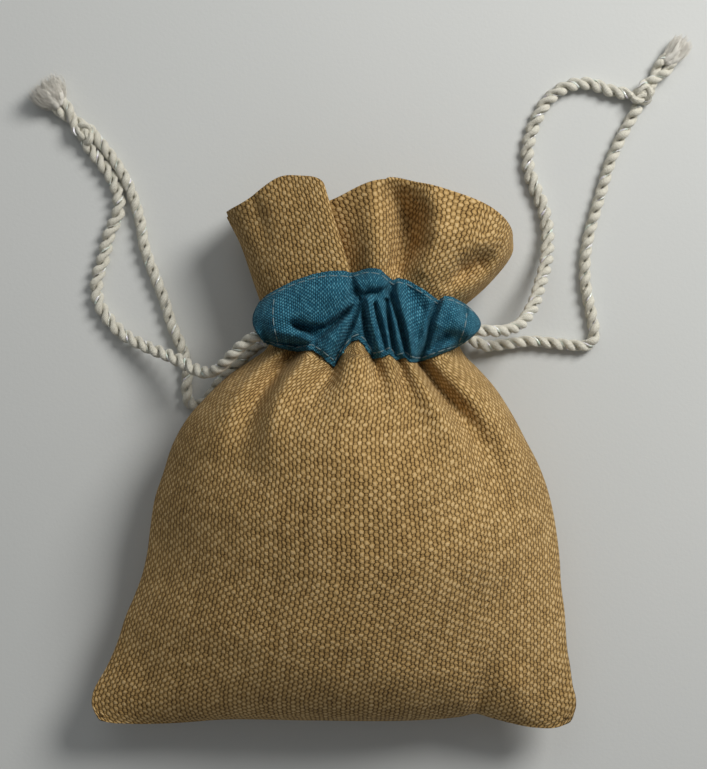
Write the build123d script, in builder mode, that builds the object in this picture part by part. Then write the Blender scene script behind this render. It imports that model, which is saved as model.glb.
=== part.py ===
"""Drawstring pouch lying on its back: canvas panels, a cotton casing band, and two knotted drawcords."""

import os
from math import asin, cos, degrees, pi, radians, sin, tan

from build123d import *

os.makedirs("parts", exist_ok=True)

# ---- driving dimensions, in millimetres -------------------------------------------------------
CLOTH = 1.0  # canvas thickness
SEAM_Z = 12.0  # height of the side and base seams above the table
MOUTH_Y = 57.0  # top edge of the collar
THREAD_D = 0.45
STITCH_LENGTH = 1.5
STITCH_PITCH = 2.1
SEAM_PITCH = 2.4

CORD_D = 2.6
CORD_LIFT = CORD_D / 2 + 0.05  # centre line of a cord that lies on the table
PULL = 22.0  # how far each cord can be drawn out before the neck is closed

# The casing is a flat tunnel on each side of the neck, open at both ends.
CASING_LEFT = -16.9
CASING_RIGHT = 30.3
LEFT_LANE_Y = 22.9  # the left cord's path through the casing
RIGHT_LANE_Y = 26.0  # the right cord's path, beside it
FRONT_LANE_Z = 21.7
BACK_LANE_Z = 3.3
LOOP_R = (FRONT_LANE_Z - BACK_LANE_Z) / 2
LOOP_Z = (FRONT_LANE_Z + BACK_LANE_Z) / 2
LOOP_REACH = 20.6  # from the middle of the neck to the loop's outermost point
NECK_X = 6.7

# Sections of the pouch from base to mouth: y, left edge, right edge, top, underside.
# Where the underside dips below 0 it is pressed flat on the table.
SECTIONS = (
    (-57.0, -46.5, 46.0, 13.2, 10.8),
    (-52.0, -49.9, 49.9, 18.5, 5.5),
    (-46.0, -48.0, 49.4, 24.5, 1.5),
    (-37.0, -44.3, 48.2, 31.0, -1.8),
    (-24.0, -39.6, 47.0, 36.0, -3.4),
    (-8.0, -36.8, 45.0, 38.0, -3.4),
    (4.0, -32.3, 39.0, 36.5, -1.2),
    (12.0, -26.4, 34.0, 32.0, 2.2),
    (17.5, -18.8, 29.0, 25.5, 4.0),
    (21.0, -12.2, 25.2, 20.1, 5.0),
    (30.0, -11.1, 24.5, 20.0, 5.0),
    (36.5, -14.6, 27.8, 20.4, 4.8),
    (45.0, -19.8, 34.5, 21.6, 3.4),
    (60.0, -25.0, 41.0, 23.0, 1.8),
)

# Each free strand leaves its end of the casing, lies down on the table and ends in the knot.
LEFT_FRONT_ROUTE = (
    (CASING_LEFT, LEFT_LANE_Y, FRONT_LANE_Z),
    (-21.5, LEFT_LANE_Y, FRONT_LANE_Z),
    (-25.9, 21.5, 19.7),
    (-28.9, 19.5, 15.8),
    (-31.6, 18.8, 11.0),
    (-35.2, 19.8, 7.2),
    (-39.8, 21.4, 4.4),
    (-44.8, 23.6, 2.0),
    (-49.4, 26.9, CORD_LIFT),
    (-52.1, 31.4, CORD_LIFT),
    (-52.0, 36.7, CORD_LIFT),
    (-50.1, 41.6, CORD_LIFT),
    (-48.8, 46.4, CORD_LIFT),
    (-46.5, 50.8, CORD_LIFT),
    (-46.7, 55.6, CORD_LIFT),
    (-48.7, 59.7, CORD_LIFT),
    (-51.5, 63.2, CORD_LIFT),
    (-54.1, 66.4, CORD_LIFT),
)
LEFT_BACK_ROUTE = (
    (CASING_LEFT, LEFT_LANE_Y, BACK_LANE_Z),
    (-20.2, LEFT_LANE_Y, BACK_LANE_Z),
    (-23.4, 21.2, 2.6),
    (-24.8, 17.9, 1.8),
    (-24.4, 14.4, CORD_LIFT),
    (-25.0, 11.2, CORD_LIFT),
    (-28.0, 9.9, CORD_LIFT),
    (-30.8, 11.6, CORD_LIFT),
    (-31.1, 15.4, CORD_LIFT),
    (-32.7, 20.2, CORD_LIFT),
    (-34.8, 25.8, CORD_LIFT),
    (-36.6, 32.0, CORD_LIFT),
    (-38.8, 37.8, CORD_LIFT),
    (-41.0, 43.2, CORD_LIFT),
    (-41.8, 49.2, CORD_LIFT),
    (-43.4, 55.0, CORD_LIFT),
    (-46.0, 60.6, CORD_LIFT),
    (-49.4, 64.8, CORD_LIFT),
    (-52.3, 68.6, CORD_LIFT),
)
RIGHT_FRONT_ROUTE = (
    (CASING_RIGHT, RIGHT_LANE_Y, FRONT_LANE_Z),
    (34.9, RIGHT_LANE_Y, FRONT_LANE_Z),
    (39.2, 26.1, 19.4),
    (42.2, 27.7, 15.9),
    (43.6, 31.3, 12.0),
    (44.4, 36.0, 8.2),
    (45.6, 41.0, 4.8),
    (46.4, 46.2, 2.2),
    (45.4, 52.0, CORD_LIFT),
    (42.4, 57.4, CORD_LIFT),
    (41.0, 63.4, CORD_LIFT),
    (42.4, 69.4, CORD_LIFT),
    (45.0, 75.0, CORD_LIFT),
    (49.6, 78.6, CORD_LIFT),
    (55.2, 79.0, CORD_LIFT),
    (59.8, 76.8, CORD_LIFT),
    (64.0, 76.7, CORD_LIFT),
)
RIGHT_BACK_ROUTE = (
    (CASING_RIGHT, RIGHT_LANE_Y, BACK_LANE_Z),
    (33.6, RIGHT_LANE_Y, BACK_LANE_Z),
    (37.4, 24.9, 2.5),
    (41.6, 23.6, 1.5),
    (46.2, 23.1, CORD_LIFT),
    (50.6, 22.3, CORD_LIFT),
    (54.5, 22.1, CORD_LIFT),
    (56.3, 24.7, CORD_LIFT),
    (55.4, 29.2, CORD_LIFT),
    (54.1, 34.8, CORD_LIFT),
    (53.7, 40.8, CORD_LIFT),
    (54.9, 47.2, CORD_LIFT),
    (57.1, 54.4, CORD_LIFT),
    (59.3, 62.2, CORD_LIFT),
    (62.2, 68.4, CORD_LIFT),
    (66.0, 74.0, CORD_LIFT),
)

# Past each knot two short tails run out to a soft tuft of loose fibres.
KNOT_R = 2.4
KNOT_HALF = 3.2
TAIL_LENGTH = 9.0
TAIL_SPREAD = 1.35
TUFT_START = 8.0
TUFT_LENGTH = 8.5
TUFT_R = 3.4
LEFT_KNOT = (-53.7, 68.1)
LEFT_END_ANGLE = 132.0
RIGHT_KNOT = (66.2, 76.4)
RIGHT_END_ANGLE = 50.0


def save(part, label):
    """Label one finished sub-part and write it."""
    part.label = label
    export_step(part, f"parts/{label}.step")


def skin(sections, inset):
    """The pouch as a filled solid, drawn in by inset on every side."""
    with BuildPart() as body:
        for y, left, right, top, under in sections:
            half = (right - left) / 2 - inset
            plane = Plane(((left + right) / 2, y, SEAM_Z), x_dir=(1, 0, 0), z_dir=(0, -1, 0))
            with BuildSketch(plane):
                with BuildLine():
                    EllipticalCenterArc((0, 0), half, top - SEAM_Z - inset, start_angle=0, arc_size=180)
                    EllipticalCenterArc((0, 0), half, SEAM_Z - under - inset, start_angle=180, arc_size=180)
                make_face()
        loft(ruled=True)
        with BuildSketch(Plane.XY.offset(inset - 10)):
            Rectangle(160, 160)
        extrude(amount=10, mode=Mode.SUBTRACT)
    return body.part


def corner_radii(points):
    """The largest tangent arc that each corner of a route leaves room for."""
    corners = [Vector(*p) for p in points]
    radii = []
    for before, here, after in zip(corners, corners[1:], corners[2:]):
        run_in = here - before
        run_out = after - here
        half_turn = radians(run_in.get_angle(run_out)) / 2
        radii.append(0.45 * min(run_in.length, run_out.length) / tan(half_turn))
    return radii


def tube(points, label):
    """A cord along straight runs that tangent arcs join."""
    radii = corner_radii(points)
    with BuildPart() as cord:
        with BuildLine() as route:
            FilletPolyline(*points, radius=radii)
        path = route.wire()
        with BuildSketch(Plane(path @ 0, z_dir=path % 0)):
            Circle(CORD_D / 2)
        sweep(path=path)
    expected = pi * CORD_D**2 / 4 * path.length
    print(label, "length", round(path.length, 1), "radii", [round(r, 1) for r in radii])
    print(label, "volume", round(cord.part.volume, 1), "of", round(expected, 1))
    return cord.part


def edge_at(y, side):
    """The pouch's left (1) or right (2) edge at y, between its sections."""
    for low, high in zip(SECTIONS, SECTIONS[1:]):
        if low[0] <= y <= high[0]:
            share = (y - low[0]) / (high[0] - low[0])
            return low[side] + share * (high[side] - low[side])
    return SECTIONS[-1][side]


# ---- canvas panels ---------------------------------------------------------------------------
filled = skin(SECTIONS, 0.0)
BASE_INSIDE = (SECTIONS[0][0] + 2.5, -48.0, 47.6, 16.0, 8.0)
cavity = skin((BASE_INSIDE,) + SECTIONS[1:], CLOTH)

# The collar's top edge, as cut: two rounded lobes and a dip between them.
with BuildPart() as beyond_mouth:
    with BuildSketch(Plane.XY.offset(-5)):
        with BuildLine():
            Spline(
                (-30, 46),
                (-21.5, 50.6),
                (-10.6, MOUTH_Y),
                (-1, 54.5),
                (10.2, MOUTH_Y),
                (22, 55),
                (32.3, 51),
                (46, 40),
            )
            Polyline((46, 40), (60, 40), (60, 80), (-60, 80), (-60, 46), (-30, 46))
        make_face()
    extrude(amount=50)

with BuildPart() as shell:
    add(filled)
    add(cavity, mode=Mode.SUBTRACT)
    add(beyond_mouth.part, mode=Mode.SUBTRACT)

with BuildPart() as front_panel:
    add(shell.part)
    split(bisect_by=Plane.XY.offset(SEAM_Z), keep=Keep.TOP)
save(front_panel.part, "front_panel")

with BuildPart() as back_panel:
    add(shell.part)
    split(bisect_by=Plane.XY.offset(SEAM_Z), keep=Keep.BOTTOM)
save(back_panel.part, "back_panel")

# ---- casing bands ----------------------------------------------------------------------------
# Side profiles as (y, z): a hem on the body, the tunnel for the cords, and a hem on the collar.
FRONT_OUTSIDE = ((18.9, 24.6), (20.6, 24.2), (29.6, 24.2), (31.9, 21.6), (36.5, 21.5))
FRONT_TUNNEL = ((21.2, 19.0), (21.2, 23.3), (29.0, 23.3), (31.2, 20.8), (31.2, 19.0))
BACK_OUTSIDE = ((18.9, 3.2), (20.6, 0.8), (29.6, 0.8), (31.9, 3.7), (36.5, 3.8))
BACK_TUNNEL = ((21.2, 6.0), (21.2, 1.7), (29.0, 1.7), (31.2, 4.5), (31.2, 6.0))
CASING_LENGTH = CASING_RIGHT - CASING_LEFT


def casing(outside, tunnel, inner_z):
    """One band, sewn down along both edges; the tunnel between them is open at both ends."""
    profile = outside + ((outside[-1][0], inner_z), (outside[0][0], inner_z))
    with BuildPart() as band:
        with BuildSketch(Plane.YZ.offset(CASING_LEFT)):
            Polygon(*profile, align=None)
            Polygon(*tunnel, align=None, mode=Mode.SUBTRACT)
        extrude(amount=CASING_LENGTH)
        add(filled, mode=Mode.SUBTRACT)
    return band.part


save(casing(FRONT_OUTSIDE, FRONT_TUNNEL, 19.6), "front_casing")
save(casing(BACK_OUTSIDE, BACK_TUNNEL, 5.4), "back_casing")

# ---- sewing thread ---------------------------------------------------------------------------
ROW_STARTS = CASING_LEFT + 1.4
ROW_COUNT = int((CASING_LENGTH - 1.4) / STITCH_PITCH)


def stitch_row(y, z):
    """A row of stitches along the casing."""
    with BuildPart() as row:
        for i in range(ROW_COUNT):
            with Locations((ROW_STARTS + i * STITCH_PITCH, y, z)):
                Cylinder(THREAD_D / 2, STITCH_LENGTH, rotation=(0, 90, 0))
    return row.part


def end_hem_stitches(z_tunnel, z_collar):
    """The lines that hold the turned-in ends of one band."""
    with BuildPart() as lines:
        for x in (CASING_LEFT + 3.6, CASING_RIGHT - 3.0):
            for y in (22.0, 24.1, 26.2, 28.3):
                with Locations((x, y, z_tunnel)):
                    Cylinder(THREAD_D / 2, STITCH_LENGTH, rotation=(90, 0, 0))
            with Locations((x, 33.2, z_collar)):
                Cylinder(THREAD_D / 2, STITCH_LENGTH, rotation=(90, 0, 0))
    return lines.part


save(stitch_row(19.9, 24.36), "front_casing_lower_stitches")
save(stitch_row(35.2, 21.52), "front_casing_upper_stitches")
save(end_hem_stitches(24.2, 21.57), "front_casing_end_stitches")
save(stitch_row(19.9, 1.8), "back_casing_lower_stitches")
save(stitch_row(35.2, 3.77), "back_casing_upper_stitches")
save(end_hem_stitches(0.8, 3.73), "back_casing_end_stitches")


def side_seam(side, inward):
    """Stitches along one side seam, from the base corner to the casing."""
    with BuildPart() as seam:
        for i in range(30):
            y = -50.0 + i * SEAM_PITCH
            here = edge_at(y, side)
            ahead = edge_at(y + 1.0, side)
            lean = degrees(asin((ahead - here) / Vector(ahead - here, 1.0).length))
            with Locations(Location((here + inward * CLOTH / 2, y, SEAM_Z), (90, 0, -lean))):
                Cylinder(THREAD_D / 2, STITCH_LENGTH)
    return seam.part


save(side_seam(1, 1), "left_seam_stitches")
save(side_seam(2, -1), "right_seam_stitches")

with BuildPart() as base_seam:
    for i in range(38):
        with Locations((-44.4 + i * SEAM_PITCH, SECTIONS[0][0] + 1.2, SEAM_Z)):
            Cylinder(THREAD_D / 2, STITCH_LENGTH, rotation=(0, 90, 0))
save(base_seam.part, "base_seam_stitches")

# ---- drawcords -------------------------------------------------------------------------------


def casing_loop(side, lane_y, mouth_x):
    """The length of one cord that stays in the casing, round the far side of the neck."""
    turn_x = NECK_X + side * (LOOP_REACH - LOOP_R)
    start_x = mouth_x + side * (PULL + 1.0)
    with BuildPart() as loop:
        with BuildLine() as route:
            Line((start_x, lane_y, FRONT_LANE_Z), (turn_x, lane_y, FRONT_LANE_Z))
            ThreePointArc(
                (turn_x, lane_y, FRONT_LANE_Z),
                (turn_x + side * LOOP_R, lane_y, LOOP_Z),
                (turn_x, lane_y, BACK_LANE_Z),
            )
            Line((turn_x, lane_y, BACK_LANE_Z), (start_x, lane_y, BACK_LANE_Z))
        path = route.wire()
        with BuildSketch(Plane(path @ 0, z_dir=path % 0)):
            Circle(CORD_D / 2)
        sweep(path=path)
    return loop.part


def casing_runs(side, lane_y, mouth_x):
    """The two straight lengths, in the front and back tunnels, that a pull draws out."""
    with BuildPart() as runs:
        with BuildSketch(Plane.YZ.offset(min(mouth_x, mouth_x + side * (PULL + 1.0)))):
            with Locations((lane_y, FRONT_LANE_Z), (lane_y, BACK_LANE_Z)):
                Circle(CORD_D / 2)
        extrude(amount=PULL + 1.0)
    return runs.part


def end_plane(knot, angle):
    """Level plane at a knot's centre: x runs out along the tails, y across them."""
    heading = (cos(radians(angle)), sin(radians(angle)), 0)
    return Plane((*knot, 0), x_dir=heading, z_dir=(0, 0, 1))


def knot_lump(plane):
    """The knot that ties both ends of one cord together."""
    axis = Axis(plane.origin + Vector(0, 0, KNOT_R), plane.x_dir)
    upright = Plane(plane.origin + Vector(0, 0, KNOT_R), x_dir=plane.x_dir, z_dir=-plane.y_dir)
    with BuildPart() as knot:
        with BuildSketch(upright):
            with BuildLine():
                Spline(
                    (-KNOT_HALF, 0),
                    (-KNOT_HALF * 0.6, KNOT_R * 0.86),
                    (0, KNOT_R),
                    (KNOT_HALF * 0.6, KNOT_R * 0.86),
                    (KNOT_HALF, 0),
                )
                Line((KNOT_HALF, 0), (-KNOT_HALF, 0))
            make_face()
        revolve(axis=axis)
    return knot.part


def tails(plane):
    """The two cut ends beyond the knot, side by side."""
    with BuildPart() as ends:
        with BuildSketch(Plane(plane.origin + Vector(0, 0, 1.7), x_dir=plane.y_dir, z_dir=plane.x_dir)):
            with Locations((-TAIL_SPREAD, 0), (TAIL_SPREAD, 0)):
                Circle(CORD_D / 2)
        extrude(amount=TAIL_LENGTH)
    return ends.part


def tuft(plane):
    """The soft brush of loose fibres at the cord's end."""
    centre = plane.origin + Vector(0, 0, TUFT_R)
    upright = Plane(centre, x_dir=plane.x_dir, z_dir=-plane.y_dir)
    start, end = TUFT_START, TUFT_START + TUFT_LENGTH
    with BuildPart() as brush:
        with BuildSketch(upright):
            with BuildLine():
                Line((start, 0), (start, TUFT_R * 0.55))
                Spline(
                    (start, TUFT_R * 0.55),
                    (start + TUFT_LENGTH * 0.35, TUFT_R * 0.92),
                    (start + TUFT_LENGTH * 0.65, TUFT_R),
                    (start + TUFT_LENGTH * 0.92, TUFT_R * 0.6),
                    (end, 0),
                )
                Line((end, 0), (start, 0))
            make_face()
        revolve(axis=Axis(centre, plane.x_dir))
    return brush.part


CORDS = (
    ("left", 1, CASING_LEFT, LEFT_LANE_Y, LEFT_FRONT_ROUTE, LEFT_BACK_ROUTE, LEFT_KNOT, LEFT_END_ANGLE),
    ("right", -1, CASING_RIGHT, RIGHT_LANE_Y, RIGHT_FRONT_ROUTE, RIGHT_BACK_ROUTE, RIGHT_KNOT, RIGHT_END_ANGLE),
)

for name, inward, mouth_x, lane_y, front_route, back_route, knot_xy, end_angle in CORDS:
    level = end_plane(knot_xy, end_angle)
    save(casing_loop(inward, lane_y, mouth_x), f"{name}_cord_casing_loop")
    save(casing_runs(inward, lane_y, mouth_x), f"{name}_cord_casing_runs")
    save(tube(front_route, f"{name}_front_strand"), f"{name}_front_strand")
    save(tube(back_route, f"{name}_back_strand"), f"{name}_back_strand")
    save(knot_lump(level), f"{name}_knot")
    save(tails(level), f"{name}_tails")
    save(tuft(level), f"{name}_tuft")
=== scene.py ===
"""A small canvas drawstring pouch with a cotton casing band and two twisted white drawcords, lying on its back."""

from math import cos, pi, radians, sin

import bpy
import numpy as np
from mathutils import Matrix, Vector
from mathutils.bvhtree import BVHTree


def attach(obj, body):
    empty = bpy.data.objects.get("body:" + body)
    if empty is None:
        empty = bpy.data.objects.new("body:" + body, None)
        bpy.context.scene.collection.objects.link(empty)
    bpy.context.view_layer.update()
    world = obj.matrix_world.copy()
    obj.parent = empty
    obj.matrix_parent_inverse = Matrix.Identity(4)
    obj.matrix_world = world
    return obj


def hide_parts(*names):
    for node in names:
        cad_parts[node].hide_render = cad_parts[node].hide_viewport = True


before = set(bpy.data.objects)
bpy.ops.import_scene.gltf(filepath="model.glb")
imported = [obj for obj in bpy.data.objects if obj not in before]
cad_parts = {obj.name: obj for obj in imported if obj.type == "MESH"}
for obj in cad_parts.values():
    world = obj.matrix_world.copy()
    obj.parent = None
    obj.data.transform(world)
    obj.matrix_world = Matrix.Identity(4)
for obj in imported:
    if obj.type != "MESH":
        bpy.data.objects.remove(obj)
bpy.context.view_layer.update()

MM = 0.001

# ---- camera and light (distances in millimetres until they reach Blender) ----
EYE = np.array([4.06, 13.96, 330.0])  # the camera looks straight down
SEAM_Z = 12.0  # height of the side and base seams
LONG_SIDE = 160.2  # what the picture's long side covers at the seam's height


def seen_to_real(x, y, z):
    """The point at height z that the camera sees where it sees (x, y) at the seam's height."""
    scale = (EYE[2] - z) / (EYE[2] - SEAM_Z)
    return EYE[0] + (x - EYE[0]) * scale, EYE[1] + (y - EYE[1]) * scale


def real_to_seen(points):
    """Where the camera sees points, as x and y at the seam's height."""
    scale = (EYE[2] - SEAM_Z) / (EYE[2] - points[..., 2])
    return EYE[:2] + (points[..., :2] - EYE[:2]) * scale[..., None]


def add_object(name, data):
    """Puts data in the scene as a new object."""
    thing = bpy.data.objects.new(name, data)
    bpy.context.scene.collection.objects.link(thing)
    return thing


SENSOR = 36.0
camera = add_object("camera", bpy.data.cameras.new("camera"))
camera.data.sensor_width = SENSOR
camera.data.lens = SENSOR * (EYE[2] - SEAM_Z) / LONG_SIDE
camera.data.clip_start = 0.01
camera.data.clip_end = 20.0
camera.location = EYE * MM
bpy.context.scene.camera = camera
bpy.context.scene.view_settings.view_transform = "Standard"


def area_light(name, place, size, power, colour):
    """A round lamp that points at the origin."""
    data = bpy.data.lights.new(name, "AREA")
    data.shape = "DISK"
    data.size = size * MM
    data.energy = power
    data.color = colour
    lamp = add_object(name, data)
    lamp.location = Vector(place) * MM
    lamp.rotation_euler = (-lamp.location).to_track_quat("-Z", "Y").to_euler()


COOL_WHITE = (0.97, 0.99, 1.0)
area_light("window", (280, 280, 340), 240, 2.05, (1.0, 0.985, 0.96))
area_light("fill", (-100, 420, 550), 400, 0.3, COOL_WHITE)

world = bpy.data.worlds.new("studio")
bpy.context.scene.world = world
world.use_nodes = True
background = world.node_tree.nodes["Background"]
background.inputs["Color"].default_value = (*COOL_WHITE, 1.0)
background.inputs["Strength"].default_value = 0.17

# ---- materials ----


class Nodes:
    """Builds one material's node tree with few words."""

    def __init__(self, name, roughness, sheen=0.0, specular=0.3):
        self.material = bpy.data.materials.new(name)
        self.material.use_nodes = True
        self.tree = self.material.node_tree
        self.shader = self.tree.nodes["Principled BSDF"]
        self.fill(self.shader, {"Roughness": roughness, "Specular IOR Level": specular,
                                "Sheen Weight": sheen, "Sheen Roughness": 0.4})

    def new(self, kind, **settings):
        node = self.tree.nodes.new("ShaderNode" + kind)
        for name, value in settings.items():
            setattr(node, name, value)
        return node

    def fill(self, node, values):
        """Puts numbers or links in a node's sockets, by name or in order, and returns its first output."""
        for key, value in values.items() if isinstance(values, dict) else enumerate(values):
            if isinstance(value, bpy.types.NodeSocket):
                self.tree.links.new(value, node.inputs[key])
            else:
                node.inputs[key].default_value = value
        return node.outputs[0]

    def math(self, operation, a, b=0.0, c=0.0):
        return self.fill(self.new("Math", operation=operation), (a, b, c))

    def noise(self, vector, scale, detail=2.0, colour=False):
        node = self.new("TexNoise")
        self.fill(node, {"Scale": scale, "Detail": detail, "Vector": vector})
        return node.outputs["Color" if colour else "Fac"]

    def white(self, x, y, z):
        """A random value for each whole number place."""
        place = self.fill(self.new("CombineXYZ"), (x, y, z))
        return self.fill(self.new("TexWhiteNoise", noise_dimensions="3D"), {"Vector": place})

    def ramp(self, factor, stops):
        node = self.new("ValToRGB")
        while len(node.color_ramp.elements) < len(stops):
            node.color_ramp.elements.new(0.5)
        for element, (place, colour) in zip(node.color_ramp.elements, stops):
            element.position = place
            element.color = (*colour, 1.0)
        return self.fill(node, (factor,))

    def multiply(self, *colours):
        node = self.new("Mix", data_type="RGBA", blend_type="MULTIPLY")
        sockets = [k for k, socket in enumerate(node.inputs) if socket.type == "RGBA"]
        self.fill(node, {"Factor": 1.0, **dict(zip(sockets, colours))})
        return next(socket for socket in node.outputs if socket.type == "RGBA")

    def uv(self):
        uv = self.new("UVMap", uv_map="cloth").outputs[0]
        split = self.new("SeparateXYZ")
        self.fill(split, (uv,))
        return uv, split.outputs[0], split.outputs[1]

    def place(self):
        return self.new("TexCoord").outputs["Object"]

    def finish(self, colour, height, distance, strength=1.0):
        """Gives the surface its colour and its bumps."""
        normal = self.fill(self.new("Bump"), {"Strength": strength, "Distance": distance, "Height": height})
        self.fill(self.shader, {"Base Color": colour, "Normal": normal})
        return self.material


def woven(name, pitch, stops, lift, wobble, blotch, sheen, slim):
    """Plain weave in millimetres of cloth: round floats of one thread set like bricks, with slim bits of the
    other thread between them. One pitch across holds a column, two pitches along hold a float and a slim bit."""
    n = Nodes(name, roughness=0.88, sheen=sheen, specular=0.20)
    uv, u, v = n.uv()
    across, along = n.math("DIVIDE", u, pitch[0]), n.math("DIVIDE", v, pitch[1])
    # threads wander slowly, and each float sits a little off its place
    for scale, detail, reach in ((0.30, 3.0, wobble), (1.3 / pitch[0], 1.0, 0.55)):
        shift = n.new("SeparateColor")
        n.fill(shift, (n.noise(uv, scale, detail, colour=True),))
        across = n.math("ADD", across, n.math("MULTIPLY", shift.outputs[0], reach))
        along = n.math("ADD", along, n.math("MULTIPLY", shift.outputs[1], reach))

    def mound(x, y, across_reach, along_reach):
        """A rounded mound with the given reach from its middle, and nothing beyond."""
        far = n.math("ADD", n.math("POWER", n.math("DIVIDE", x, across_reach), 2.5),
                     n.math("POWER", n.math("DIVIDE", y, along_reach), 2.5))
        return n.math("POWER", n.math("MAXIMUM", n.math("SUBTRACT", 1.0, far), 0.0), 0.5)

    # the colour follows each float's and slim bit's height: painted shade, darkest low in the gaps between threads,
    # with a random tone for each float
    heights, tones_and_shades = [], []
    for shift in (0.5, 1.5):
        place_x, place_y = n.math("SUBTRACT", across, shift), n.math("SUBTRACT", along, shift)
        x = n.math("ABSOLUTE", n.math("WRAP", place_x, 1.0, -1.0))
        y = n.math("ABSOLUTE", n.math("WRAP", place_y, 1.0, -1.0))
        columns, rows = (n.math("FLOOR", n.math("MULTIPLY_ADD", place, 0.5, 0.5)) for place in (place_x, place_y))
        each = n.white(columns, rows, shift)
        size = n.math("MULTIPLY_ADD", each, 0.14, 0.93)
        big = mound(n.math("DIVIDE", x, size), n.math("DIVIDE", y, size), 0.60, 0.82)
        thin = mound(x, n.math("SUBTRACT", 1.0, y), slim, 0.62)
        heights += [big, n.math("MULTIPLY", thin, 0.68)]
        tones_and_shades += [n.math("MULTIPLY", big, n.math("MULTIPLY_ADD", each, 0.20, 0.84)), n.math("MULTIPLY", thin, 0.66)]

    def highest(values):
        result = values[0]
        for value in values[1:]:
            result = n.math("MAXIMUM", result, value)
        return result

    threads = n.math("ADD", n.white(n.math("FLOOR", across), 3.5, 0.0), n.white(7.5, n.math("FLOOR", along), 0.0))
    fibre = n.noise(uv, 5.2 / pitch[0], 2.0)
    # painted shade from the heights above, plus random tones for each thread and fine fibre
    tone_and_shade = n.math("MULTIPLY_ADD", n.math("SUBTRACT", threads, 1.0), 0.09, highest(tones_and_shades))
    tone_and_shade = n.math("MULTIPLY_ADD", n.math("SUBTRACT", fibre, 0.5), 0.42, tone_and_shade)
    patches = n.ramp(n.noise(uv, 0.045, 4.0), ((0.30, (1.0 - blotch,) * 3), (0.70, (1.0,) * 3)))
    relief = n.math("ADD", highest(heights), n.math("MULTIPLY", fibre, 0.30))
    return n.finish(n.multiply(n.ramp(tone_and_shade, stops), patches), relief, lift * MM)


def thread_material(name, stops, pitch, roughness, sheen):
    """Spun fibre: fine ridges that run slantwise round each ply, with soft fuzz between them."""
    n = Nodes(name, roughness=roughness, sheen=sheen, specular=0.35)
    _, u, v = n.uv()
    ridges = n.math("SINE", n.math("MULTIPLY", n.math("ADD", u, n.math("MULTIPLY", v, 1.3)), 2 * pi / pitch))
    ridges = n.math("MULTIPLY_ADD", ridges, 0.5, 0.5)
    fuzz = n.noise(n.place(), 2600.0, 3.0)
    # colour is random fuzz, plus the ridges lighter than the grooves between them, which is painted shade
    tone_and_shade = n.math("MULTIPLY_ADD", fuzz, 0.65, n.math("MULTIPLY", ridges, 0.30))
    return n.finish(n.ramp(tone_and_shade, stops), n.math("ADD", n.math("MULTIPLY", ridges, 0.6), fuzz), 0.12 * MM)


# Each colour ramp runs from the gaps between threads to the tops of the floats: its dark end is painted shade in the
# gaps, and it gets lighter as the floats rise.
CANVAS = woven(
    "canvas_weave", (0.92, 0.72),
    ((0.05, (0.088, 0.041, 0.007)), (0.42, (0.305, 0.176, 0.055)),
     (0.82, (0.575, 0.369, 0.139)), (1.0, (0.75, 0.53, 0.255))),
    lift=0.34, wobble=0.9, blotch=0.16, sheen=0.05, slim=0.38,
)
COTTON = woven(
    "casing_cotton_weave", (0.50, 0.42),
    ((0.10, (0.001, 0.010, 0.020)), (0.45, (0.010, 0.080, 0.138)),
     (0.85, (0.034, 0.190, 0.285)), (1.0, (0.11, 0.34, 0.44))),
    lift=0.26, wobble=0.4, blotch=0.10, sheen=0.03, slim=0.34,
)
# the dark end of each thread ramp lands partly in the grooves between ridges, as painted shade, and partly where the
# fuzz is low, as random tone
YARN_STOPS = ((0.15, (0.50, 0.47, 0.37)), (0.45, (0.78, 0.75, 0.64)), (0.8, (0.92, 0.90, 0.79)))
TOPSTITCH_STOPS = ((0.15, (0.10, 0.22, 0.27)), (0.7, (0.36, 0.48, 0.50)))
SEAM_STOPS = ((0.15, (0.16, 0.10, 0.04)), (0.7, (0.42, 0.29, 0.14)))
TUFT_STOPS = ((0.15, (0.90, 0.86, 0.77)), (0.7, (0.97, 0.94, 0.86)))
YARN = thread_material("cord_yarn", YARN_STOPS, pitch=0.42, roughness=0.75, sheen=0.25)
TOPSTITCH = thread_material("topstitch_thread", TOPSTITCH_STOPS, pitch=0.20, roughness=0.55, sheen=0.1)
SEAM_THREAD = thread_material("seam_thread", SEAM_STOPS, pitch=0.20, roughness=0.6, sheen=0.1)
TUFT = thread_material("tuft_fibre", TUFT_STOPS, pitch=0.3, roughness=0.8, sheen=0.2)


def pearl_material():
    """The clear pearly filament that is spun into the cord; its green and mauve tints are painted iridescent
    reflection.
    """
    n = Nodes("pearl_filament", roughness=0.12, specular=0.9)
    painted_iridescence = n.noise(n.place(), 900.0, 1.0)
    # pale pearl with green and mauve tints spread by noise: painted iridescent reflection
    stops = ((0.3, (0.72, 0.86, 0.76)), (0.5, (0.90, 0.92, 0.86)), (0.7, (0.84, 0.80, 0.90)))
    n.fill(n.shader, {"Coat Weight": 0.8, "Coat Roughness": 0.06})
    return n.finish(n.ramp(painted_iridescence, stops), n.noise(n.place(), 1800.0, 1.0), 0.10 * MM)


PEARL = pearl_material()


def floor_material():
    n = Nodes("pale_floor", roughness=0.9, sheen=0.1, specular=0.2)
    tint = n.ramp(n.noise(n.place(), 9.0, 3.0), ((0.3, (0.66, 0.675, 0.66)), (0.7, (0.69, 0.70, 0.685))))
    return n.finish(tint, n.noise(n.place(), 1300.0, 2.0), 0.05 * MM, 0.5)


# ---- mesh helpers ----


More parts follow.
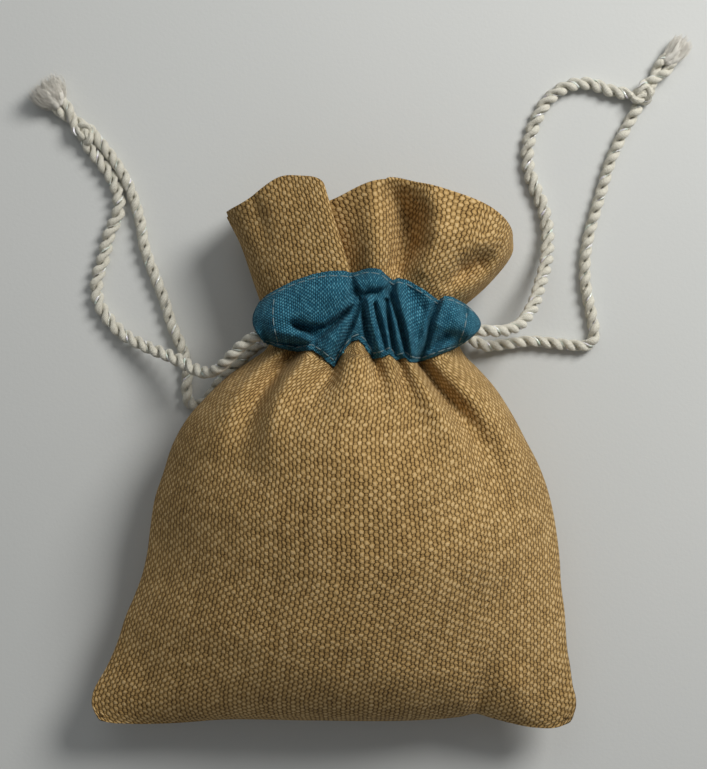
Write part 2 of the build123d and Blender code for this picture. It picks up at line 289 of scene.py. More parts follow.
def make_mesh(name, verts, faces, uvs, materials, marks=None):
    """A smooth mesh piece from millimetre points, quads and a uv for every point."""
    verts, faces, uvs = np.asarray(verts, float), np.asarray(faces, int), np.asarray(uvs, float)
    data = bpy.data.meshes.new(name)
    data.from_pydata((verts * MM).tolist(), [], faces.tolist())
    layer = data.uv_layers.new(name="cloth")
    corners = np.zeros(len(data.loops), int)
    data.loops.foreach_get("vertex_index", corners)
    layer.data.foreach_set("uv", uvs[corners].ravel())
    data.polygons.foreach_set("use_smooth", np.ones(len(data.polygons), bool))
    for material in materials:
        data.materials.append(material)
    if marks is not None:
        data.polygons.foreach_set("material_index", np.asarray(marks, np.int32))
    data.update()
    return add_object(name, data)


def grid_faces(rows, columns, flip=False):
    index = np.arange(rows * columns).reshape(rows, columns)
    corners = [index[:-1, :-1], index[:-1, 1:], index[1:, 1:], index[1:, :-1]]
    quads = np.stack([c.ravel() for c in corners], axis=1)
    return quads[:, ::-1] if flip else quads


def cloth_mesh(name, points, uv, front, material, thickness):
    """A sheet of cloth through rows of points, with its thickness on the inner side."""
    faces = grid_faces(*points.shape[:2], flip=not front)
    piece = make_mesh(name, points.reshape(-1, 3), faces, uv.reshape(-1, 2), [material])
    solid = piece.modifiers.new("thickness", "SOLIDIFY")
    solid.thickness = thickness * MM
    solid.offset = -1.0
    solid.use_even_offset = False
    return piece


def smooth_curve(table, at):
    """Smooth values between the given (place, value, ...) rows of a table."""
    table = np.asarray(table, float)
    x, values = table[:, 0], table[:, 1:]
    slopes = np.zeros_like(values)
    steps = (values[1:] - values[:-1]) / (x[1:] - x[:-1])[:, None]
    slopes[1:-1] = (steps[1:] + steps[:-1]) / 2
    slopes[0], slopes[-1] = steps[0], steps[-1]
    at = np.clip(np.asarray(at, float), x[0], x[-1])
    i = np.clip(np.searchsorted(x, at, side="right") - 1, 0, len(x) - 2)
    width = x[i + 1] - x[i]
    t = ((at - x[i]) / width)[..., None]
    width = width[..., None]
    a, b = values[i], values[i + 1]
    result = (
        a * (2 * t**3 - 3 * t**2 + 1) + slopes[i] * width * (t**3 - 2 * t**2 + t)
        + b * (3 * t**2 - 2 * t**3) + slopes[i + 1] * width * (t**3 - t**2)
    )
    return result[..., 0] if result.shape[-1] == 1 else result


def arc_lengths(points, axis):
    steps = np.linalg.norm(np.diff(points, axis=axis), axis=-1)
    start = np.zeros_like(np.take(steps, [0], axis=axis))
    return np.concatenate([start, np.cumsum(steps, axis=axis)], axis=axis)


def at_lengths(line, lengths, at):
    """A line's points at places between its own, which lie at the given lengths."""
    return np.stack([np.interp(at, lengths, column) for column in line.T], axis=-1)


def along_line(points, line):
    """For every point, its signed distance from a polyline, positive on its right, and the nearest place along it."""
    line = np.asarray(line, float)
    best = np.full(points.shape[:-1], 1e9)
    signed, where = np.zeros((2, *points.shape[:-1]))
    for k in range(len(line) - 1):
        a, b = line[k, :2], line[k + 1, :2]
        run = b - a
        t = np.clip(((points - a) @ run) / (run @ run), 0, 1)
        away = points - (a + t[..., None] * run)
        distance = np.linalg.norm(away, axis=-1)
        side = np.sign(run[1] * (points[..., 0] - a[0]) - run[0] * (points[..., 1] - a[1]))
        closer = distance < best
        best = np.where(closer, distance, best)
        signed = np.where(closer, side * distance, signed)
        where = np.where(closer, k + t, where)
    return signed, where


def fold(points, line, pleat_edge=False):
    """Height that one fold adds. Each row of the line is x, y, height, width, as the camera sees it. A fold is a
    rounded roll, or a groove where its height is negative. A pleat's edge is high on its left, low on its right."""
    line = np.asarray(line, float)
    signed, where = along_line(points, line)
    places = np.arange(len(line))
    height = np.interp(where, places, line[:, 2])
    reach = np.abs(signed) / np.interp(where, places, line[:, 3])
    if pleat_edge:
        return -height * np.tanh(signed / 0.22) * np.exp(-reach)
    return height * np.exp(-(reach**2))


def waves(points, scale, seed):
    """Smooth random unevenness, about one wave per scale millimetres."""
    shuffled = np.random.default_rng(seed)
    total = np.zeros(points.shape[:-1])
    for _ in range(14):
        angle, phase = shuffled.uniform(0, 2 * pi, 2)
        length = scale * shuffled.uniform(0.7, 1.8)
        total += np.sin((points[..., 0] * cos(angle) + points[..., 1] * sin(angle)) * 2 * pi / length + phase)
    return total / 14**0.5


# ---- the drawcords ----
PLY_R = 0.70
PLY_OFFSET = 0.72  # from the cord's middle to a ply's
PLY_PITCH = 5.4
RING_STEP = 0.33
LIFT = 1.35  # middle of a cord that lies on the table

LEFT_FRONT_ROUTE = (
    (-14.9, 24.2, 19.8), (-17.6, 22.9, 19.4), (-20.6, 20.2, 18.0), (-23.8, 16.9, 15.2), (-27.6, 16.2, 11.4),
    (-31.8, 18.6, 8.0), (-35.8, 20.4, 5.4), (-40.0, 21.9, 3.6), (-44.8, 24.2, 1.9), (-48.6, 27.6, LIFT),
    (-51.2, 32.0, LIFT), (-51.4, 36.6, LIFT), (-49.6, 41.2, LIFT), (-48.8, 46.2, LIFT), (-46.4, 50.4, LIFT),
    (-46.4, 55.4, LIFT), (-48.6, 59.6, LIFT), (-51.4, 63.2, LIFT), (-53.9, 66.6, LIFT),
)
LEFT_BACK_ROUTE = (
    (-15.6, 22.9, 3.3), (-17.6, 21.6, 3.3), (-20.4, 18.9, 2.8), (-23.4, 16.0, 2.0), (-26.0, 12.8, LIFT),
    (-28.0, 9.6, LIFT), (-31.2, 9.2, LIFT), (-32.0, 12.8, LIFT), (-31.6, 17.0, LIFT), (-32.6, 21.6, LIFT),
    (-34.8, 25.8, LIFT), (-36.6, 32.0, LIFT), (-38.9, 37.8, LIFT), (-41.0, 43.2, LIFT), (-41.8, 49.2, LIFT),
    (-43.5, 55.0, LIFT), (-46.2, 60.6, LIFT), (-49.4, 64.8, LIFT), (-52.4, 68.4, LIFT),
)
RIGHT_FRONT_ROUTE = (
    (27.6, 25.0, 19.8), (31.0, 25.0, 19.6), (35.0, 24.7, 17.6), (38.8, 26.4, 14.2), (41.6, 30.0, 10.6),
    (43.6, 35.2, 7.0), (45.4, 40.6, 4.2), (45.9, 46.2, 2.0), (45.1, 52.0, LIFT), (42.4, 57.6, LIFT),
    (41.1, 63.4, LIFT), (42.6, 69.4, LIFT), (45.2, 74.8, LIFT), (49.6, 78.4, LIFT), (55.2, 79.0, LIFT),
    (59.6, 76.9, LIFT), (64.2, 76.3, LIFT),
)
RIGHT_BACK_ROUTE = (
    (28.2, 25.0, 3.3), (29.8, 23.2, 3.3), (32.6, 22.0, 2.8), (36.8, 22.6, 2.0), (41.4, 23.4, 1.5), (46.2, 23.0, LIFT),
    (50.8, 22.4, LIFT), (54.6, 22.1, LIFT), (56.2, 24.6, LIFT), (55.2, 29.2, LIFT), (54.0, 34.8, LIFT),
    (53.7, 40.8, LIFT), (54.9, 47.2, LIFT), (57.1, 54.4, LIFT), (59.3, 62.2, LIFT), (62.2, 68.4, LIFT),
    (65.4, 74.0, LIFT),
)


def spline_points(name, route):
    """The smooth line of a cord: a NURBS curve through the route's control points."""
    data = bpy.data.curves.new(name, "CURVE")
    data.dimensions = "3D"
    data.resolution_u = 24
    spline = data.splines.new("NURBS")
    spline.points.add(len(route) - 1)
    for point, (x, y, z) in zip(spline.points, route):
        point.co = (x * MM, y * MM, z * MM, 1.0)
    spline.order_u = 3
    spline.use_endpoint_u = True
    carrier = add_object(name, data)
    line = bpy.data.meshes.new_from_object(carrier)
    points = np.array([v.co for v in line.vertices], float) / MM
    bpy.data.objects.remove(carrier)
    bpy.data.curves.remove(data)
    bpy.data.meshes.remove(line)
    return points


def evenly(points, step):
    """Points a fixed distance apart along a line, for the rings of a swept mesh."""
    lengths = arc_lengths(points, 0)
    count = max(3, int(round(lengths[-1] / step)) + 1)
    at = np.linspace(0, lengths[-1], count)
    return at_lengths(points, lengths, at), at


def carried_frames(points):
    """Tangents and two normals that turn as little as possible along a line."""
    tangents = np.gradient(points, axis=0)
    tangents /= np.linalg.norm(tangents, axis=1)[:, None]
    normal = np.cross(tangents[0], (0.0, 0.0, 1.0))
    if np.linalg.norm(normal) < 1e-3:
        normal = np.array((1.0, 0.0, 0.0))
    normals = []
    for tangent in tangents:
        normal = normal - tangent * (normal @ tangent)
        normal = normal / np.linalg.norm(normal)
        normals.append(normal)
    normals = np.array(normals)
    return tangents, normals, np.cross(tangents, normals)


def around(first, second, turn):
    """The direction at an angle from the first one towards the second, which is square to it."""
    turn = np.asarray(turn)[..., None]
    return first * np.cos(turn) + second * np.sin(turn)


def tube(points, radii, sides):
    """Points, quads and uvs of a tube along a line, drawn in at both ends."""
    _, normals, others = carried_frames(points)
    radii = np.array(np.broadcast_to(radii, len(points)), float)
    radii[[0, -1]] *= 0.08
    turns = np.linspace(0, 2 * pi, sides + 1)
    verts = points[:, None] + around(normals[:, None], others[:, None], turns) * radii[:, None, None]
    along = arc_lengths(points, 0)
    uv = np.stack(np.broadcast_arrays((turns * radii.max())[None, :], along[:, None]), axis=-1)
    return verts.reshape(-1, 3), grid_faces(len(points), sides + 1), uv.reshape(-1, 2)


def join(parts):
    """Joins several (verts, faces, uvs) into one, with a mark for each part's faces."""
    verts, faces, uvs, marks, start = [], [], [], [], 0
    for mark, (v, f, t) in parts:
        verts.append(v)
        faces.append(f + start)
        uvs.append(t)
        marks.append(np.full(len(f), mark))
        start += len(v)
    return np.concatenate(verts), np.concatenate(faces), np.concatenate(uvs), np.concatenate(marks)


def twisted(points, phase=0.0, ply_r=PLY_R, offset=PLY_OFFSET, pitch=PLY_PITCH):
    """Two plump plies wound round each other along a line, with a pearly filament in the groove."""
    line, at = evenly(points, RING_STEP)
    _, normals, others = carried_frames(line)
    parts = []
    for ply in range(2):
        turn = 2 * pi * at / pitch + phase + ply * pi
        plump = 1.0 + 0.05 * np.sin(at * 1.9 + ply * 2.0 + phase) - 0.23 * np.cos(2 * turn)
        parts.append((0, tube(line + offset * around(normals, others, turn), ply_r * plump, 10)))
    turn = 2 * pi * at / pitch + phase + pi * 0.5
    rise = offset + ply_r * (0.42 + 0.10 * np.sin(at * 1.7 + phase))
    glint = np.clip(np.sin(at * 1.7 + phase * 2.0) * 1.8 - 0.3, 0, 1)
    parts.append((1, tube(line + rise[:, None] * around(normals, others, turn), 0.05 + 0.20 * glint, 6)))
    return parts


def fuzz_on(points, count, reach, seed):
    """Loose fibre ends that stand off a cord."""
    shuffled = np.random.default_rng(seed)
    line, _ = evenly(points, RING_STEP)
    tangents, normals, others = carried_frames(line)
    parts = []
    for _ in range(count):
        k = shuffled.integers(2, len(line) - 2)
        out = around(normals[k], others[k], shuffled.uniform(0, 2 * pi))
        lean = tangents[k] * shuffled.uniform(-0.9, 0.9)
        length = reach * shuffled.uniform(0.5, 1.0)
        t = np.linspace(0, 1, 4)[:, None]
        curl = np.cross(tangents[k], out) * shuffled.uniform(-0.6, 0.6)
        hair = line[k] + out * 0.95 + (out * t * 0.6 + (lean + curl) * t**1.5) * length
        hair[:, 2] = np.maximum(hair[:, 2], 0.05)
        parts.append((0, tube(hair, 0.028, 3)))
    return parts


def declare(piece, body, node):
    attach(piece, body)
    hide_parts(node)
    return piece


UP = np.array([0.0, 0.0, 1.0])


def headings(angle):
    """The direction at an angle on the table, and the one to its left."""
    return [np.array([cos(radians(a)), sin(radians(a)), 0.0]) for a in (angle, angle + 90)]


def overhand(centre, angle):
    """A small overhand knot, longest along the cord."""
    t = np.linspace(0.0, 2 * pi, 90)
    ahead, aside = headings(angle)
    x = (np.sin(t) + 2 * np.sin(2 * t)) * 0.72
    y = (np.cos(t) - 2 * np.cos(2 * t)) * 0.48
    z = -np.sin(3 * t) * 0.75
    return np.array([*centre, 2.15]) + x[:, None] * ahead + y[:, None] * aside + z[:, None] * UP


LOCKS = 13  # plump locks of fibre at a brush's heart


def tuft_fibres(start, angle, length, spread, count, curl, thickness, seed):
    """A brush that flares from the cord's end: plump locks with loose fibres round them, straight or curled."""
    shuffled = np.random.default_rng(seed)
    ahead, aside = headings(angle)
    parts = []
    t = np.linspace(0, 1, 16)[:, None]
    for k in range(LOCKS):
        away = around(aside, UP, k * 2.4)
        out = ((k + 0.5) / LOCKS) ** 0.5
        lock = start + ahead * length * (0.86 - 0.16 * out) * t
        lock = lock + away * out * (0.8 + spread * 0.74 * np.sin(t * pi * 0.5) ** 1.2)
        lock = lock + np.cross(ahead, away) * 0.35 * np.sin(t * pi * 2.0 + k)
        lock[:, 2] = np.maximum(lock[:, 2], 0.9)
        taper = np.sin(pi * (0.22 + 0.66 * t[:, 0])) * (1.0 + 0.10 * np.sin(t[:, 0] * 15.0 + k))
        parts.append((0, tube(lock, (0.50 + 0.13 * spread) * taper, 12)))
    t = np.linspace(0, 1, 9)[:, None]
    for _ in range(count):
        turn, out = shuffled.uniform(0, 2 * pi), shuffled.uniform(0, 1) ** 0.4
        away = around(aside, UP, turn)
        span = length * shuffled.uniform(0.72, 1.0) * (1.0 - 0.18 * out)
        bend = np.cross(ahead, away) * shuffled.uniform(-curl, curl)
        wave = shuffled.uniform(1.0, 3.4)
        fibre = start + away * out + ahead * span * t + away * out * spread * np.sin(t * pi * 0.5) ** 1.2
        fibre = fibre + bend * np.sin(t * pi * wave) * 0.8 + away * np.sin(t * pi * wave * 0.7) * curl * 0.4
        fibre[:, 2] = np.maximum(fibre[:, 2], 0.12)
        parts.append((0, tube(fibre, thickness * shuffled.uniform(0.7, 1.3), 4)))
    return parts


def cord_piece(name, parts, body, node, material=YARN):
    verts, faces, uvs, marks = join(parts)
    return declare(make_mesh(name, verts, faces, uvs, [material, PEARL], marks), body, node)


def build_cord(side, routes, knot, angle, tails_length, brush, seed):
    """One drawcord: its knot, tails and tuft, and its two free strands."""
    body = f"{side}_drawcord"
    ahead, aside = headings(angle)
    centre = np.array([*knot, 0.0])
    knot_line = twisted(overhand(knot, angle), 0.4, 0.60, 0.48, 5.0)
    tied = cord_piece(f"{side}_knot_tied", knot_line, body, f"{side}_knot")
    t = np.linspace(0, 1, 30)[:, None]
    tails = []
    for k, sway in ((0, 1.0), (1, -1.0)):  # the two tails wind round each other
        line = centre + ahead * (1.2 + t * tails_length) + aside * sway * np.cos(t * 3.6 + 0.4) * 1.15
        line = line + UP * (1.75 + sway * np.sin(t * 3.6 + 0.4) * 0.5)
        tails += twisted(line, 1.3 * k + seed, 0.66, 0.52, 5.6)
    ends = cord_piece(f"{side}_tails_twisted", tails, body, f"{side}_tails")
    start = centre + ahead * (tails_length - 0.8) + UP * 2.0
    fibres = tuft_fibres(start, angle, *brush, seed)
    frayed = cord_piece(f"{side}_tuft_frayed", fibres, body, f"{side}_tuft", TUFT)
    for strand, route, with_pieces in zip(("front", "back"), routes, ([tied, ends, frayed], [])):
        node = f"{side}_{strand}_strand"
        points = spline_points(f"{side}_{strand}_line", route)
        parts = twisted(points, seed * 0.9 + len(route)) + fuzz_on(points, 150, 0.9, seed + len(route))
        piece = cord_piece(f"{node}_twisted", parts, body, node)


# Each brush: its length, spread, count of fibres, curl and fibre thickness.
build_cord("left", (LEFT_FRONT_ROUTE, LEFT_BACK_ROUTE), (-53.7, 68.1), 132, 8.2, (8.2, 3.3, 420, 1.4, 0.035), 3)
build_cord("right", (RIGHT_FRONT_ROUTE, RIGHT_BACK_ROUTE), (66.2, 76.4), 52, 8.6, (8.6, 1.4, 260, 0.4, 0.05), 5)

# ---- the pouch's cloth ----
# Edges of the body as (y, x), from the base to under the casing.
LEFT_EDGE = (
    (-55.5, -48.9), (-54.6, -49.7), (-53.0, -50.3), (-51.0, -50.2), (-49.0, -49.6), (-44.3, -47.1), (-39.5, -45.0),
    (-34.2, -43.3), (-30.0, -41.5), (-25.7, -39.9), (-20.9, -38.8), (-16.1, -38.2), (-9.7, -37.2), (-4.5, -35.5),
    (2.0, -33.3), (7.3, -30.2), (10.4, -27.5), (13.4, -24.6), (16.2, -21.4), (18.9, -17.4), (21.4, -14.0),
    (25.0, -12.8),
)
RIGHT_EDGE = (
    (-55.5, 49.2), (-54.6, 49.9), (-53.0, 50.3), (-51.0, 50.2), (-49.0, 49.7), (-44.0, 49.0), (-41.1, 48.5),
    (-33.1, 47.9), (-27.8, 47.2), (-22.5, 46.9), (-17.2, 46.3), (-11.9, 45.4), (-6.6, 44.0), (-2.3, 42.3),
    (2.5, 39.8), (7.8, 37.0), (13.6, 33.2), (17.4, 29.8), (20.0, 27.2), (22.0, 26.0), (25.0, 25.4),
)
# Height of the front along its middle, and of the underside.
FRONT_TOP = (
    (-55.5, 12.2), (-54.6, 15.6), (-52.6, 19.4), (-49.2, 23.4), (-44.5, 27.2), (-39.3, 30.2), (-34.5, 32.4),
    (-27.9, 34.7), (-19.7, 36.7), (-10.0, 37.6), (-4.0, 37.7), (1.0, 36.9), (6.0, 35.1), (11.0, 32.4), (14.5, 29.8),
    (17.5, 27.2), (20.0, 25.0), (22.5, 23.0), (25.0, 20.6),
)
BACK_TOP = (
    (-55.5, 11.8), (-53.0, 8.4), (-50.0, 4.6), (-46.0, 1.2), (-42.0, -1.0), (-36.0, -2.6), (-10.0, -3.4),
    (2.0, -2.6), (9.0, -0.6), (14.0, 1.6), (18.0, 3.4), (21.0, 4.6), (25.0, 5.4),
)
BASE_Y, THROAT_Y = -55.5, 25.0
CLOTH_WIDTH = 104.0  # one panel, cut flat
CANVAS_THICKNESS, COTTON_THICKNESS = 0.9, 0.5
TABLE_GAP = 0.15
COLUMNS = 241
BODY_ROWS = 200

# Folds of the front, as the camera sees them: x, y, height, width.
FRONT_FOLDS = (
    # deep valley on the right, with a roll along each side of it
    ((17.3, 20.6, -3.6, 1.1), (18.4, 18.1, -5.0, 1.2), (21.4, 13.9, -5.2, 1.5), (25.4, 9.0, -4.4, 2.0),
     (29.2, 4.0, -3.2, 2.7), (33.0, -1.8, -2.0, 3.4), (35.6, -7.6, -0.9, 4.2), (37.5, -14.0, 0.0, 5.0)),
    ((14.8, 20.0, 1.0, 1.1), (16.4, 17.2, 1.3, 1.5), (19.2, 13.2, 1.5, 1.9), (22.4, 8.0, 1.3, 2.4),
     (26.2, 1.6, 0.9, 3.0), (29.5, -5.0, 0.0, 3.5)),
    ((21.4, 21.0, 2.0, 2.2), (24.6, 17.6, 2.4, 3.0), (29.2, 12.0, 2.6, 3.6), (33.8, 5.6, 2.2, 4.2),
     (38.0, -2.0, 1.3, 5.0), (40.5, -10.0, 0.0, 6.0)),
    # softer folds under the narrow pleats
    ((13.4, 20.0, -2.0, 0.8), (14.2, 16.6, -1.8, 1.2), (15.6, 11.4, -1.4, 1.9), (18.2, 3.8, -0.8, 2.8),
     (21.0, -4.0, 0.0, 4.0)),
    ((8.2, 19.8, -3.0, 0.8), (9.0, 17.0, -2.4, 1.2), (10.0, 12.6, -1.2, 2.0), (11.2, 6.0, 0.0, 3.0)),
    ((11.4, 20.6, 1.4, 1.0), (12.0, 16.6, 1.1, 1.5), (12.8, 11.0, 0.4, 2.4), (13.5, 6.0, 0.0, 3.0)),
    # the middle peak
    ((5.2, 24.0, 2.8, 1.7), (4.8, 20.6, 3.0, 2.3), (4.4, 16.6, 2.2, 3.2), (4.0, 11.0, 1.0, 5.0),
     (3.5, 3.0, 0.0, 7.0)),
    ((0.4, 19.4, -4.6, 1.0), (-0.2, 17.2, -4.4, 1.4), (-2.0, 14.4, -3.0, 2.4), (-4.6, 11.4, -1.6, 3.6),
     (-7.6, 6.6, 0.0, 5.0)),
    # the left shoulder
    ((-3.9, 22.4, 1.8, 1.8), (-6.2, 18.8, 2.4, 2.0), (-9.8, 14.6, 2.6, 2.4), (-13.0, 9.0, 2.0, 3.2),
     (-14.8, 2.0, 0.9, 4.6), (-15.5, -5.0, 0.0, 6.0)),
    ((-6.4, 22.0, -3.4, 1.0), (-8.6, 20.0, -4.4, 1.2), (-11.9, 16.8, -5.2, 1.6), (-15.0, 12.6, -4.8, 2.2),
     (-17.2, 7.6, -3.4, 3.0), (-19.0, 1.6, -1.9, 4.2), (-20.6, -6.0, -0.6, 5.4), (-21.5, -13.0, 0.0, 6.0)),
    ((-12.0, 20.8, 1.4, 1.6), (-16.2, 16.8, 1.6, 2.4), (-20.4, 11.8, 1.5, 3.2), (-24.0, 5.6, 0.9, 4.4),
     (-26.0, -2.0, 0.0, 6.0)),
    ((-14.2, 20.8, -1.2, 0.8), (-18.8, 16.4, -0.9, 1.1), (-22.0, 13.0, 0.0, 1.4)),
    # light creases lower down
    ((34.9, -41.6, 0.0, 1.8), (33.0, -46.0, -0.8, 1.9), (30.6, -51.6, -1.2, 1.8), (29.6, -54.5, -0.5, 1.6)),
    ((38.5, -44.0, 0.0, 2.5), (38.0, -49.0, 0.9, 3.0), (39.0, -53.5, 0.7, 3.0)),
    ((-36.0, -42.0, 0.0, 3.0), (-40.0, -48.0, -0.7, 2.6), (-44.0, -53.0, -0.6, 2.2)),
)


def half_section(left, right, top, bulge):
    """Across each row of the pouch, from its left edge to its right: x, and height above the seam."""
    turn = np.linspace(-pi / 2, pi / 2, 361)
    x = (left + right)[:, None] / 2 + (right - left)[:, None] / 2 * np.sin(turn)
    bulge = bulge[:, None]
    return x, (top - SEAM_Z)[:, None] * ((1 - bulge) * np.cos(turn) ** 2 + bulge * np.cos(turn))


def resample_rows(points, count):
    """The same rows with points evenly spaced along each."""
    lengths = arc_lengths(points, 1)
    at = np.linspace(0, 1, count)
    return np.stack([at_lengths(row, share, at) for row, share in zip(points, lengths / lengths[:, -1:])])


# How far the base seam strays from straight, as (x, y): both corners hang a little lower.
BASE_LINE = (
    (-50.0, 0.6), (-47.4, -0.6), (-42.9, -1.0), (-34.0, -0.9), (-22.5, -0.1), (-4.5, -0.3), (16.3, -0.3), (26.5, 0.5),
    (29.3, 1.1), (32.7, 0.2), (36.9, -0.9), (41.7, -1.8), (47.3, -1.5), (50.0, 0.4),
)
# How full the section is towards the side seams, as (y, share).
FULLNESS = ((-55.5, 0.35), (-6.0, 0.35), (6.0, 0.60), (14.0, 0.85), (25.0, 0.85))


def body_surface(front):
    """The pouch's body on one side, before its folds: rows from the base to under the casing."""
    table = FRONT_TOP if front else BACK_TOP
    y_fine = np.linspace(BASE_Y, THROAT_Y, 700)
    heights = smooth_curve(table, y_fine)
    run = arc_lengths(np.stack([y_fine, heights], axis=1), 0)
    y = np.interp(np.linspace(0, run[-1], BODY_ROWS), run, y_fine)
    x, rise = half_section(*(smooth_curve(t, y) for t in (LEFT_EDGE, RIGHT_EDGE, table, FULLNESS)))
    z = SEAM_Z + rise
    if not front:
        z = TABLE_GAP + np.logaddexp(0, (z - TABLE_GAP) * 2.2) / 2.2  # lies flat on the table
    rows = np.stack([x, np.broadcast_to(y[:, None], x.shape), z], axis=-1)
    rows[..., 1] += smooth_curve(BASE_LINE, rows[..., 0]) * np.exp(-(y - BASE_Y) / 7.0)[:, None]
    return resample_rows(rows, COLUMNS)


# The collar above the casing, column by column from the left edge to the right: for each, the place and
# height under the casing, at two heights between, and at the mouth, as the camera sees them.
FRONT_COLLAR = (
    ((-14.6, 29.0, 12.0), (-17.0, 36.0, 12.0), (-19.2, 42.4, 12.0), (-22.4, 49.8, 12.0)),
    ((-14.4, 29.4, 15.8), (-16.6, 36.4, 16.2), (-18.6, 42.8, 16.4), (-21.6, 50.6, 16.0)),
    ((-13.0, 29.8, 18.0), (-14.6, 36.8, 18.6), (-16.2, 43.4, 18.8), (-18.6, 52.0, 18.2)),
    ((-10.6, 30.2, 19.8), (-12.0, 37.4, 20.8), (-13.2, 44.6, 21.0), (-15.4, 54.6, 20.2)),
    ((-7.0, 30.6, 21.2), (-8.0, 38.0, 22.6), (-9.0, 46.0, 22.8), (-11.2, 57.8, 21.8)),
    ((-3.0, 30.8, 22.2), (-3.6, 38.2, 24.0), (-4.8, 46.4, 24.2), (-7.4, 57.4, 23.0)),
    ((1.4, 30.8, 22.8), (0.8, 38.0, 25.0), (-0.8, 46.0, 25.2), (-4.0, 57.4, 24.2)),
    ((3.9, 30.6, 22.4), (3.3, 38.0, 24.8), (1.1, 45.2, 25.2), (-2.0, 56.2, 24.4)),
    ((4.0, 30.4, 20.6), (3.5, 37.6, 22.8), (1.4, 44.8, 23.2), (-1.7, 54.5, 22.4)),
    ((2.6, 30.2, 19.4), (1.6, 37.2, 21.0), (-0.6, 44.2, 21.4), (-3.6, 52.6, 20.8)),
    ((2.9, 30.2, 18.8), (2.6, 37.2, 20.4), (0.6, 44.2, 20.8), (-2.2, 51.6, 20.2)),
    ((4.8, 30.4, 20.6), (4.8, 37.6, 22.0), (4.0, 45.4, 22.6), (1.4, 53.2, 21.4)),
    ((7.0, 30.6, 22.2), (7.4, 38.2, 24.2), (7.0, 47.0, 24.8), (5.8, 55.8, 23.0)),
    ((9.4, 30.6, 22.8), (10.4, 38.0, 25.0), (10.8, 47.6, 25.6), (10.6, 57.2, 23.8)),
    ((11.8, 30.4, 21.8), (13.6, 37.4, 22.8), (15.2, 47.0, 23.2), (15.2, 56.6, 22.6)),
    ((14.4, 30.2, 22.4), (17.4, 37.0, 24.2), (19.8, 46.4, 25.0), (20.4, 55.6, 24.0)),
    ((17.4, 30.0, 22.8), (21.2, 36.4, 25.0), (24.6, 44.8, 26.2), (26.6, 53.8, 24.8)),
    ((20.4, 29.8, 22.4), (24.8, 35.8, 24.6), (29.0, 43.2, 25.8), (32.0, 51.6, 24.0)),
    ((23.0, 29.6, 21.0), (28.4, 35.2, 23.0), (33.0, 41.8, 24.0), (35.6, 48.8, 21.6)),
    ((25.0, 29.4, 18.0), (31.0, 34.8, 19.4), (35.8, 40.6, 19.8), (37.2, 46.2, 17.4)),
    ((25.8, 29.2, 12.0), (32.0, 34.6, 12.0), (36.8, 40.6, 12.0), (37.2, 45.0, 12.0)),
)
COLLAR_FOLDS = (
    ((10.6, 56.4, -0.8, 2.2), (12.6, 53.0, -4.6, 3.0), (15.4, 48.6, -7.4, 3.6), (15.4, 44.0, -6.8, 3.2),
     (13.4, 39.0, -3.8, 1.9)),
    ((20.6, 55.0, 0.8, 3.0), (21.2, 46.0, 1.8, 3.2), (18.8, 38.0, 1.2, 2.4)),
    ((24.2, 35.0, -1.4, 1.6), (27.6, 37.8, -5.2, 2.1), (30.8, 39.6, -5.2, 2.3), (34.0, 41.6, -1.6, 2.0)),
    ((8.6, 56.0, 0.3, 3.0), (8.4, 46.0, 0.8, 3.0), (7.8, 38.6, 0.9, 2.0)),
    ((-16.8, 52.6, -0.5, 1.2), (-15.0, 47.0, -0.6, 1.6), (-13.6, 40.0, 0.0, 1.8)),
)
COLLAR_ROWS = 90
NECK_ROWS = 16


def bspline(points, count):
    """A smooth line near given points, which passes through its two ends."""
    points = np.asarray(points, float)
    padded = np.concatenate([2 * points[:1] - points[1:2], points, 2 * points[-1:] - points[-2:-1]])
    at = np.linspace(0, len(points) - 1 - 1e-9, count)
    k, t = at.astype(int), (at % 1.0)[(...,) + (None,) * (points.ndim - 1)]
    a, b, c, d = (padded[k + j] for j in range(4))
    return (a * (1 - t) ** 3 + b * (3 * t**3 - 6 * t**2 + 4) + c * (-3 * t**3 + 3 * t**2 + 3 * t + 1) + d * t**3) / 6


def collar_surface(front):
    """The collar's rows from under the casing to the mouth."""
    net = np.array(FRONT_COLLAR, float)
    if not front:  # the back is calmer and lies lower: the same outline, a little inside the front's
        net[..., 2] = SEAM_Z - (net[..., 2] - SEAM_Z) * 0.80
        net[:, 3, 1] -= 1.0
    place = (0.0, 0.30, 0.62, 1.0)
    columns = bspline(net, COLUMNS)
    at = np.interp(np.linspace(0, 1, COLLAR_ROWS), place, (0, 1, 2, 3))
    table = np.concatenate([np.arange(4.0)[:, None], columns.transpose(1, 0, 2).reshape(4, -1)], axis=1)
    grid = smooth_curve(table, at).reshape(COLLAR_ROWS, COLUMNS, 3)
    x, y = seen_to_real(grid[..., 0], grid[..., 1], grid[..., 2])
    return np.stack([x, y, grid[..., 2]], axis=-1)


def lifted(points, folds, strength=1.0):
    """Adds folds to a surface's height, less near the seams. The strength may differ from row to row."""
    seen = real_to_seen(points)
    total = sum(fold(seen, line) for line in folds)
    total = total + waves(seen, 26.0, 11) * 0.28 + waves(seen, 9.0, 12) * 0.07
    share = np.clip((points[..., 2] - SEAM_Z) / 6.0, 0.0, 1.0)
    points = points.copy()
    points[..., 2] += total * share * strength
    return points


# How the cloth rolls under along a seam: how far in, and how far from the seam's height.
SEAM_ROLL = ((0.0, 0.50), (0.14, 0.10), (1.5, 0.06))
SEAM_PUFF = 0.9


